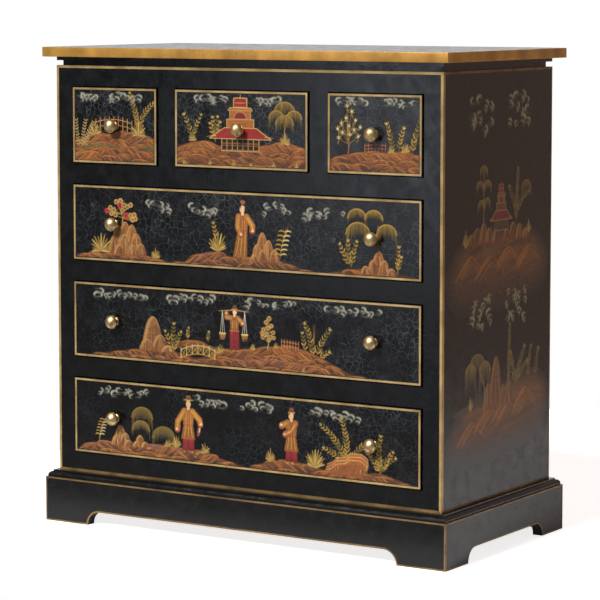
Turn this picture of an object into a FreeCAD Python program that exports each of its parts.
"""Lacquered chest of drawers: three small drawers over three long drawers on a bracket-foot plinth.

All sizes are in millimetres. X runs across the width, Y from front to back and Z up. The origin is
the bottom centre of the bounding box, so the feet stand on z = 0 and the drawers open towards -Y.
"""
import FreeCAD, Part
import math
import os

# ---- overall sizes -------------------------------------------------------------------------
TOP_WIDTH = 900.0
TOP_DEPTH = 465.0
TOTAL_HEIGHT = 930.0
OVERHANG = 20.0
CASE_WIDTH = TOP_WIDTH - 2 * OVERHANG
CASE_DEPTH = TOP_DEPTH - 2 * OVERHANG

# ---- heights of the horizontal layers --------------------------------------------------------
TOP_THICK = 18.0
FASCIA_THICK = 7.5
NECK_THICK = 9.5
NECK_INSET = 9.0
MOULDING_HEIGHT = 13.0
PLINTH_HEIGHT = 87.0
CASE_LOW = PLINTH_HEIGHT + MOULDING_HEIGHT
CASE_HIGH = TOTAL_HEIGHT - TOP_THICK - FASCIA_THICK - NECK_THICK

# ---- drawers ----------------------------------------------------------------------------------
FRONT_HEIGHT = 146.0
FRONT_THICK = 18.0
FRONT_PROUD = 4.0
FRONT_GAP = 2.0
ROW_PITCH = 189.0
BOTTOM_ROW_LOW = 140.5
LONG_FRONT = 778.0
SMALL_SIDE_FRONT = 198.0
SMALL_CENTRE_FRONT = 296.0
SMALL_SIDE_CENTRE = 290.0
SIDE_THICK = 10.0
SIDE_HEIGHT = 144.0
SIDE_LIFT = 0.5
BOX_DEPTH = 380.0
BACK_DROP = 12.0
PANEL_THICK = 6.0
PANEL_LIFT = 12.0
GROOVE = 4.0
TAILS = 3
TAIL_NECK = 22.0
TAIL_FLARE = 2.5
TAIL_LENGTH = 12.0

# ---- knobs and their screws -------------------------------------------------------------------
KNOB_REACH = 24.0
KNOB_RADIUS = 13.5
KNOB_RIM = 14.0
KNOB_THROAT = 9.0
KNOB_NECK_RADIUS = 5.5
KNOB_FOOT_RADIUS = 8.5
KNOB_FOOT_THICK = 2.5
KNOB_HOLE_DEPTH = 13.0
KNOB_OFFSET = 290.0
SCREW_RADIUS = 2.0
SCREW_IN_KNOB = 11.0
SCREW_HEAD_RADIUS = 4.5
SCREW_HEAD_THICK = 2.5
HOLE_CLEARANCE = 0.2

# ---- case boards ------------------------------------------------------------------------------
FRAME_THICK = 22.0
SIDE_PANEL_THICK = 18.0
BOTTOM_BOARD_THICK = 16.0
BACK_THICK = 8.0
BACK_RECESS = 6.0
DUST_BOARD_THICK = 12.0
PARTITION_THICK = 15.0
RUNNER_WIDTH = 39.0
GUIDE_HEIGHT = 15.0
GUIDE_CLEARANCE = 1.0
SMALL_KICKER_WIDTH = 26.0
STOP_WIDTH = 30.0
STOP_HEIGHT = 6.0
STOP_CLEARANCE = 0.3

# ---- plinth -------------------------------------------------------------------------------------
PLINTH_THICK = 20.0
FOOT_WIDTH = 102.0
SIDE_FOOT_WIDTH = 85.0
FOOT_RADIUS = 27.0
MOULDING_LEDGE = 9.0
MOULDING_STEP = 3.0
MOULDING_REACH = 17.0
MOULDING_BEAD_LOW = 89.5
MOULDING_INNER = 30.0
BLOCK_SIZE = 38.0
BLOCK_LIFT = 12.0
TOP_CORNER_RADIUS = 3.0
TOP_EDGE_RADIUS = 1.5

# ---- places worked out from the sizes -------------------------------------------------------------
BBOX_DEPTH = TOP_DEPTH - OVERHANG + FRONT_PROUD + KNOB_REACH
CASE_FRONT = -BBOX_DEPTH / 2 + FRONT_PROUD + KNOB_REACH
CASE_BACK = CASE_FRONT + CASE_DEPTH
TOP_FRONT = CASE_FRONT - OVERHANG
TOP_BACK = CASE_BACK + OVERHANG
CASE_HALF = CASE_WIDTH / 2
TOP_HALF = TOP_WIDTH / 2
INNER_HALF = CASE_HALF - SIDE_PANEL_THICK
OPENING_HALF = LONG_FRONT / 2 + FRONT_GAP
OPENING_HEIGHT = FRONT_HEIGHT + 2 * FRONT_GAP
FRAME_BACK = CASE_FRONT + FRAME_THICK
BACK_FACE = CASE_BACK - BACK_RECESS
BOARD_BACK = BACK_FACE - BACK_THICK
FRONT_FACE = CASE_FRONT - FRONT_PROUD
FRONT_BACK = FRONT_FACE + FRONT_THICK
PARTITION_AT = (SMALL_CENTRE_FRONT / 2 + SMALL_SIDE_CENTRE - SMALL_SIDE_FRONT / 2) / 2
BACKWARD = FreeCAD.Vector(0, 1, 0)


def box(x0, x1, y0, y1, z0, z1):
    """Return a block between two corners."""
    return Part.makeBox(x1 - x0, y1 - y0, z1 - z0, FreeCAD.Vector(x0, y0, z0))


def save(name, *solids):
    """Write one node: a single solid, or a group of separate solids."""
    shape = solids[0] if len(solids) == 1 else Part.makeCompound(list(solids))
    shape.exportStep(os.path.join("parts", name + ".step"))


def both_sides(solid):
    """Return a solid and its mirror image across the middle plane."""
    return [solid, solid.mirror(FreeCAD.Vector(0, 0, 0), FreeCAD.Vector(1, 0, 0))]


def row_low(row):
    """Return the underside of a row's drawer fronts, with row 0 at the top and row 3 at the floor."""
    return BOTTOM_ROW_LOW + (3 - row) * ROW_PITCH


def rail_span(row):
    """Return the low and high z of the rail under a row's openings."""
    high = row_low(row) - FRONT_GAP
    low = CASE_LOW if row == 3 else high - (ROW_PITCH - OPENING_HEIGHT)
    return low, high


# ---- top of the case ------------------------------------------------------------------------------
def make_top():
    """Write the overhanging top, the fascia board flush with the case and the recessed neck board."""
    top_low = TOTAL_HEIGHT - TOP_THICK
    slab = box(-TOP_HALF, TOP_HALF, TOP_FRONT, TOP_BACK, top_low, TOTAL_HEIGHT)
    corners = [e for e in slab.Edges if abs(e.tangentAt(e.FirstParameter).z) > 0.5]
    slab = slab.makeFillet(TOP_CORNER_RADIUS, corners)
    rims = [e for e in slab.Edges if abs(e.BoundBox.ZMax - e.BoundBox.ZMin) < 0.1]
    save("top_panel", slab.makeFillet(TOP_EDGE_RADIUS, rims))
    fascia_low = top_low - FASCIA_THICK
    save("fascia_board", box(-CASE_HALF, CASE_HALF, CASE_FRONT, CASE_BACK, fascia_low, top_low))
    neck_half = CASE_HALF - NECK_INSET
    neck_front = CASE_FRONT + NECK_INSET
    neck_back = CASE_BACK - NECK_INSET
    save("neck_board", box(-neck_half, neck_half, neck_front, neck_back, CASE_HIGH, fascia_low))


# ---- case boards and face frame ---------------------------------------------------------------------
def make_case_boards():
    """Write the side panels, back panel, bottom board, dust board and the two partitions."""
    side = box(INNER_HALF, CASE_HALF, FRAME_BACK, CASE_BACK, CASE_LOW, CASE_HIGH)
    right, left = both_sides(side)
    save("side_panel_right", right)
    save("side_panel_left", left)
    save("back_panel", box(-INNER_HALF, INNER_HALF, BOARD_BACK, BACK_FACE, CASE_LOW, CASE_HIGH))
    bottom_high = CASE_LOW + BOTTOM_BOARD_THICK
    save("bottom_board", box(-INNER_HALF, INNER_HALF, FRAME_BACK, BOARD_BACK, CASE_LOW, bottom_high))
    dust_high = rail_span(0)[1]
    dust_low = dust_high - DUST_BOARD_THICK
    save("dust_board", box(-INNER_HALF, INNER_HALF, FRAME_BACK, BOARD_BACK, dust_low, dust_high))
    half = PARTITION_THICK / 2
    wall = box(PARTITION_AT - half, PARTITION_AT + half, FRAME_BACK, BOARD_BACK, dust_high, CASE_HIGH)
    save("partitions", *both_sides(wall))


def make_face_frame():
    """Write the corner stiles, the rails between the drawer rows and the short divider stiles."""
    stile = box(OPENING_HALF, CASE_HALF, CASE_FRONT, FRAME_BACK, CASE_LOW, CASE_HIGH)
    save("corner_stiles", *both_sides(stile))
    top_rail_low = row_low(0) + FRONT_HEIGHT + FRONT_GAP
    save("top_rail", box(-OPENING_HALF, OPENING_HALF, CASE_FRONT, FRAME_BACK, top_rail_low, CASE_HIGH))
    for row, name in enumerate(("rail_upper", "rail_middle", "rail_lower", "rail_bottom")):
        low, high = rail_span(row)
        save(name, box(-OPENING_HALF, OPENING_HALF, CASE_FRONT, FRAME_BACK, low, high))
    left = SMALL_CENTRE_FRONT / 2 + FRONT_GAP
    right = SMALL_SIDE_CENTRE - SMALL_SIDE_FRONT / 2 - FRONT_GAP
    divider = box(left, right, CASE_FRONT, FRAME_BACK, rail_span(0)[1], top_rail_low)
    save("divider_stiles", *both_sides(divider))


def make_runners():
    """Write the strips the drawers slide on and under, the side guides and the drawer stops."""
    strips = []
    guides = []
    outer = INNER_HALF - RUNNER_WIDTH
    guide_at = LONG_FRONT / 2 + GUIDE_CLEARANCE
    for row in range(4):
        low, high = rail_span(row)
        strip_low = low + (BOTTOM_BOARD_THICK if row == 3 else 0)
        strip_high = high - (DUST_BOARD_THICK if row == 0 else 0)
        strips += both_sides(box(outer, INNER_HALF, FRAME_BACK, BOARD_BACK, strip_low, strip_high))
        guide_high = high + GUIDE_HEIGHT
        guides += both_sides(box(guide_at, INNER_HALF, FRAME_BACK, BOARD_BACK, high, guide_high))
    kicker_low = row_low(0) + FRONT_HEIGHT + FRONT_GAP
    deck = rail_span(0)[1]
    strips += both_sides(box(outer, INNER_HALF, FRAME_BACK, BOARD_BACK, kicker_low, CASE_HIGH))
    wall_faces = (PARTITION_AT - PARTITION_THICK / 2, PARTITION_AT + PARTITION_THICK / 2)
    drawer_faces = (SMALL_CENTRE_FRONT / 2, SMALL_SIDE_CENTRE - SMALL_SIDE_FRONT / 2)
    for wall_x, drawer_x, outward in zip(wall_faces, drawer_faces, (-1, 1)):
        x0, x1 = sorted((wall_x, wall_x + outward * SMALL_KICKER_WIDTH))
        strips += both_sides(box(x0, x1, FRAME_BACK, BOARD_BACK, kicker_low, CASE_HIGH))
        x0, x1 = sorted((wall_x, drawer_x - outward * GUIDE_CLEARANCE))
        guides += both_sides(box(x0, x1, FRAME_BACK, BOARD_BACK, deck, deck + GUIDE_HEIGHT))
    save("runners_and_kickers", *strips)
    save("drawer_guides", *guides)
    stops = []
    for drawer in DRAWERS:
        low = rail_span(drawer["row"])[1]
        front = FRONT_BACK + STOP_CLEARANCE
        for side in (-1, 1):
            x0 = drawer["centre"] + side * drawer["width"] / 4 - STOP_WIDTH / 2
            stops.append(box(x0, x0 + STOP_WIDTH, front, FRAME_BACK, low, low + STOP_HEIGHT))
    save("drawer_stops", *stops)


# ---- plinth ---------------------------------------------------------------------------------------
def mitre_wedges():
    """Return tall prisms whose 45 degree ends mitre the front, back and right-hand sides of a ring."""
    reach = OVERHANG + MOULDING_INNER
    outer = [(-TOP_HALF, TOP_FRONT), (TOP_HALF, TOP_FRONT), (TOP_HALF, TOP_BACK), (-TOP_HALF, TOP_BACK)]
    inner = [(-TOP_HALF + reach, TOP_FRONT + reach), (TOP_HALF - reach, TOP_FRONT + reach),
             (TOP_HALF - reach, TOP_BACK - reach), (-TOP_HALF + reach, TOP_BACK - reach)]
    wedges = []
    for start, end in ((0, 1), (2, 3), (1, 2)):
        plan = [outer[start], outer[end], inner[end], inner[start], outer[start]]
        wire = Part.makePolygon([FreeCAD.Vector(x, y, 0) for x, y in plan])
        wedges.append(Part.Face(wire).extrude(FreeCAD.Vector(0, 0, TOTAL_HEIGHT)))
    return wedges


def foot_gap(start, end):
    """Return the outline of the space under an apron, in the XZ plane, open to the floor."""
    bend = FOOT_RADIUS * (1 - 0.5 ** 0.5)
    left_mid = FreeCAD.Vector(start + bend, 0, FOOT_RADIUS - bend)
    right_mid = FreeCAD.Vector(end - bend, 0, FOOT_RADIUS - bend)
    left_top = FreeCAD.Vector(start + FOOT_RADIUS, 0, FOOT_RADIUS)
    right_top = FreeCAD.Vector(end - FOOT_RADIUS, 0, FOOT_RADIUS)
    left_low = FreeCAD.Vector(start, 0, 0)
    right_low = FreeCAD.Vector(end, 0, 0)
    edges = [Part.Arc(left_low, left_mid, left_top).toShape(),
             Part.LineSegment(left_top, right_top).toShape(),
             Part.Arc(right_top, right_mid, right_low).toShape(),
             Part.LineSegment(right_low, left_low).toShape()]
    return Part.Face(Part.Wire(edges))


def moulding_outline():
    """Return the moulding's section: a flat ledge, a small step, then a rounded bead."""
    step_z = CASE_LOW - MOULDING_STEP
    bead_start = FreeCAD.Vector(0, -MOULDING_LEDGE - 0.5, step_z)
    bead_end = FreeCAD.Vector(0, -MOULDING_REACH, MOULDING_BEAD_LOW)
    rise = step_z - MOULDING_BEAD_LOW
    run = MOULDING_REACH - MOULDING_LEDGE - 0.5
    bulge = 0.5 ** 0.5
    bead_mid = FreeCAD.Vector(0, bead_start.y - run * bulge, MOULDING_BEAD_LOW + rise * bulge)
    corners = [FreeCAD.Vector(0, bead_end.y, PLINTH_HEIGHT), FreeCAD.Vector(0, MOULDING_INNER, PLINTH_HEIGHT),
               FreeCAD.Vector(0, MOULDING_INNER, CASE_LOW), FreeCAD.Vector(0, -MOULDING_LEDGE, CASE_LOW),
               FreeCAD.Vector(0, -MOULDING_LEDGE, step_z), bead_start]
    edges = [Part.Arc(bead_start, bead_mid, bead_end).toShape(),
             Part.LineSegment(bead_end, corners[0]).toShape()]
    edges += [Part.LineSegment(a, b).toShape() for a, b in zip(corners[:-1], corners[1:])]
    return Part.Face(Part.Wire(Part.__sortEdges__(edges)))


def make_plinth():
    """Write the four mitred plinth boards, the moulding above them and the glue blocks inside."""
    wedge_front, wedge_back, wedge_right = mitre_wedges()
    across = foot_gap(-TOP_HALF + FOOT_WIDTH, TOP_HALF - FOOT_WIDTH)
    gap = across.extrude(BACKWARD * PLINTH_THICK)
    board = box(-TOP_HALF, TOP_HALF, 0, PLINTH_THICK, 0, PLINTH_HEIGHT).cut(gap)
    front = board.translated(FreeCAD.Vector(0, TOP_FRONT, 0)).common(wedge_front)
    back = board.translated(FreeCAD.Vector(0, TOP_BACK - PLINTH_THICK, 0)).common(wedge_back)
    save("plinth_front", front.Solids[0])
    save("plinth_back", back.Solids[0])
    along = foot_gap(TOP_FRONT + SIDE_FOOT_WIDTH, TOP_BACK - SIDE_FOOT_WIDTH)
    gap = along.extrude(BACKWARD * PLINTH_THICK)
    end = box(TOP_FRONT, TOP_BACK, 0, PLINTH_THICK, 0, PLINTH_HEIGHT).cut(gap)
    end.rotate(FreeCAD.Vector(0, 0, 0), FreeCAD.Vector(0, 0, 1), 90)
    end = end.translated(FreeCAD.Vector(TOP_HALF, 0, 0)).common(wedge_right)
    save("plinth_ends", *both_sides(end.Solids[0]))

    outline = moulding_outline()
    long_bar = outline.extrude(FreeCAD.Vector(TOP_WIDTH, 0, 0))
    long_bar.translate(FreeCAD.Vector(-TOP_HALF, CASE_FRONT, 0))
    end_bar = outline.extrude(FreeCAD.Vector(TOP_DEPTH, 0, 0))
    end_bar.rotate(FreeCAD.Vector(0, 0, 0), FreeCAD.Vector(0, 0, 1), 90)
    end_bar.translate(FreeCAD.Vector(CASE_HALF, TOP_FRONT, 0))
    middle = FreeCAD.Vector(0, (CASE_FRONT + CASE_BACK) / 2, 0)
    bars = [long_bar.common(wedge_front).Solids[0]]
    bars.append(bars[0].mirror(middle, BACKWARD))
    bars += both_sides(end_bar.common(wedge_right).Solids[0])
    save("base_moulding", *bars)

    blocks = []
    for y0 in (CASE_FRONT, CASE_BACK - BLOCK_SIZE):
        block = box(CASE_HALF - BLOCK_SIZE, CASE_HALF, y0, y0 + BLOCK_SIZE, BLOCK_LIFT, PLINTH_HEIGHT)
        blocks += both_sides(block)
    save("corner_blocks", *blocks)


# ---- drawers ----------------------------------------------------------------------------------------
def tails(x0, x1, low):
    """Return the dovetails that a drawer side sends into its front."""
    pitch = SIDE_HEIGHT / TAILS
    prisms = []
    for index in range(TAILS):
        middle = low + (index + 0.5) * pitch
        neck = TAIL_NECK / 2
        wide = neck + TAIL_FLARE
        tip = FRONT_BACK - TAIL_LENGTH
        outline = [(FRONT_BACK, middle - neck), (tip, middle - wide), (tip, middle + wide),
                   (FRONT_BACK, middle + neck), (FRONT_BACK, middle - neck)]
        wire = Part.makePolygon([FreeCAD.Vector(x0, y, z) for y, z in outline])
        prisms.append(Part.Face(wire).extrude(FreeCAD.Vector(x1 - x0, 0, 0)))
    return prisms


def knob(x, z):
    """Return a domed knob on a short neck, standing out of a drawer front, with its blind hole."""
    rim = KNOB_RADIUS
    points = [(0, 0), (KNOB_FOOT_RADIUS, 0), (KNOB_FOOT_RADIUS, KNOB_FOOT_THICK * 0.6),
              (KNOB_NECK_RADIUS, KNOB_FOOT_THICK + 1.5), (KNOB_NECK_RADIUS, KNOB_THROAT),
              (rim * 0.9, KNOB_RIM - 2.5), (rim, KNOB_RIM)]
    vectors = [FreeCAD.Vector(r, -d, 0) for r, d in points]
    edges = [Part.LineSegment(a, b).toShape() for a, b in zip(vectors[:-1], vectors[1:])]
    centre = (KNOB_REACH ** 2 - KNOB_RIM ** 2 - rim ** 2) / (2 * (KNOB_REACH - KNOB_RIM))
    radius = KNOB_REACH - centre
    turn = math.asin(rim / radius) / 2
    shoulder = FreeCAD.Vector(radius * math.sin(turn), -centre - radius * math.cos(turn), 0)
    crown = FreeCAD.Vector(0, -KNOB_REACH, 0)
    edges.append(Part.Arc(vectors[-1], shoulder, crown).toShape())
    edges.append(Part.LineSegment(crown, vectors[0]).toShape())
    face = Part.Face(Part.Wire(edges))
    solid = face.revolve(FreeCAD.Vector(0, 0, 0), BACKWARD, 360)
    bore = SCREW_RADIUS + HOLE_CLEARANCE
    hole = Part.makeCylinder(bore, KNOB_HOLE_DEPTH, FreeCAD.Vector(0, 0, 0), -BACKWARD)
    return solid.cut(hole).translated(FreeCAD.Vector(x, FRONT_FACE, z))


def knob_screw(x, z):
    """Return the machine screw that holds a knob from inside the drawer."""
    length = FRONT_THICK + SCREW_IN_KNOB
    shank = Part.makeCylinder(SCREW_RADIUS, length, FreeCAD.Vector(x, FRONT_BACK, z), -BACKWARD)
    head = Part.makeCylinder(SCREW_HEAD_RADIUS, SCREW_HEAD_THICK, FreeCAD.Vector(x, FRONT_BACK, z), BACKWARD)
    return shank.fuse(head).removeSplitter()


def make_drawer(drawer):
    """Write one drawer: front, dovetailed sides, back, bottom, knobs and knob screws."""
    name = drawer["name"]
    x0 = drawer["centre"] - drawer["width"] / 2
    x1 = drawer["centre"] + drawer["width"] / 2
    low = row_low(drawer["row"])
    side_low = low - FRONT_GAP + SIDE_LIFT
    side_high = side_low + SIDE_HEIGHT
    back_end = FRONT_BACK + BOX_DEPTH
    panel_low = side_low + PANEL_LIFT
    panel_high = panel_low + PANEL_THICK
    inner0 = x0 + SIDE_THICK
    inner1 = x1 - SIDE_THICK
    panel = box(inner0 - GROOVE, inner1 + GROOVE, FRONT_BACK - GROOVE, back_end, panel_low, panel_high)

    front = box(x0, x1, FRONT_FACE, FRONT_BACK, low, low + FRONT_HEIGHT).cut(panel)
    sides = []
    for edge0, edge1 in ((x0, inner0), (inner1, x1)):
        joints = tails(edge0, edge1, side_low)
        plank = box(edge0, edge1, FRONT_BACK, back_end, side_low, side_high)
        sides.append(plank.fuse(joints).removeSplitter().cut(panel))
        front = front.cut(Part.makeCompound(joints))
    radius = SCREW_RADIUS + HOLE_CLEARANCE
    middle = low + FRONT_HEIGHT / 2
    for x in drawer["knobs"]:
        start = FreeCAD.Vector(x, FRONT_BACK, middle)
        front = front.cut(Part.makeCylinder(radius, FRONT_THICK, start, -BACKWARD))
    back_high = side_high - BACK_DROP
    save(name + "_front", front.Solids[0])
    save(name + "_sides", *sides)
    save(name + "_back", box(inner0, inner1, back_end - SIDE_THICK, back_end, panel_high, back_high))
    save(name + "_bottom", panel)
    save(name + "_knobs", *[knob(x, middle) for x in drawer["knobs"]])
    save(name + "_knob_screws", *[knob_screw(x, middle) for x in drawer["knobs"]])


DRAWERS = [
    {"name": "small_left", "row": 0, "centre": -SMALL_SIDE_CENTRE, "width": SMALL_SIDE_FRONT,
     "knobs": [-KNOB_OFFSET]},
    {"name": "small_centre", "row": 0, "centre": 0.0, "width": SMALL_CENTRE_FRONT, "knobs": [0.0]},
    {"name": "small_right", "row": 0, "centre": SMALL_SIDE_CENTRE, "width": SMALL_SIDE_FRONT,
     "knobs": [KNOB_OFFSET]},
    {"name": "long_upper", "row": 1, "centre": 0.0, "width": LONG_FRONT,
     "knobs": [-KNOB_OFFSET, KNOB_OFFSET]},
    {"name": "long_middle", "row": 2, "centre": 0.0, "width": LONG_FRONT,
     "knobs": [-KNOB_OFFSET, KNOB_OFFSET]},
    {"name": "long_lower", "row": 3, "centre": 0.0, "width": LONG_FRONT,
     "knobs": [-KNOB_OFFSET, KNOB_OFFSET]},
]

os.makedirs("parts", exist_ok=True)
make_top()
make_case_boards()
make_face_frame()
make_runners()
make_plinth()
for drawer in DRAWERS:
    make_drawer(drawer)
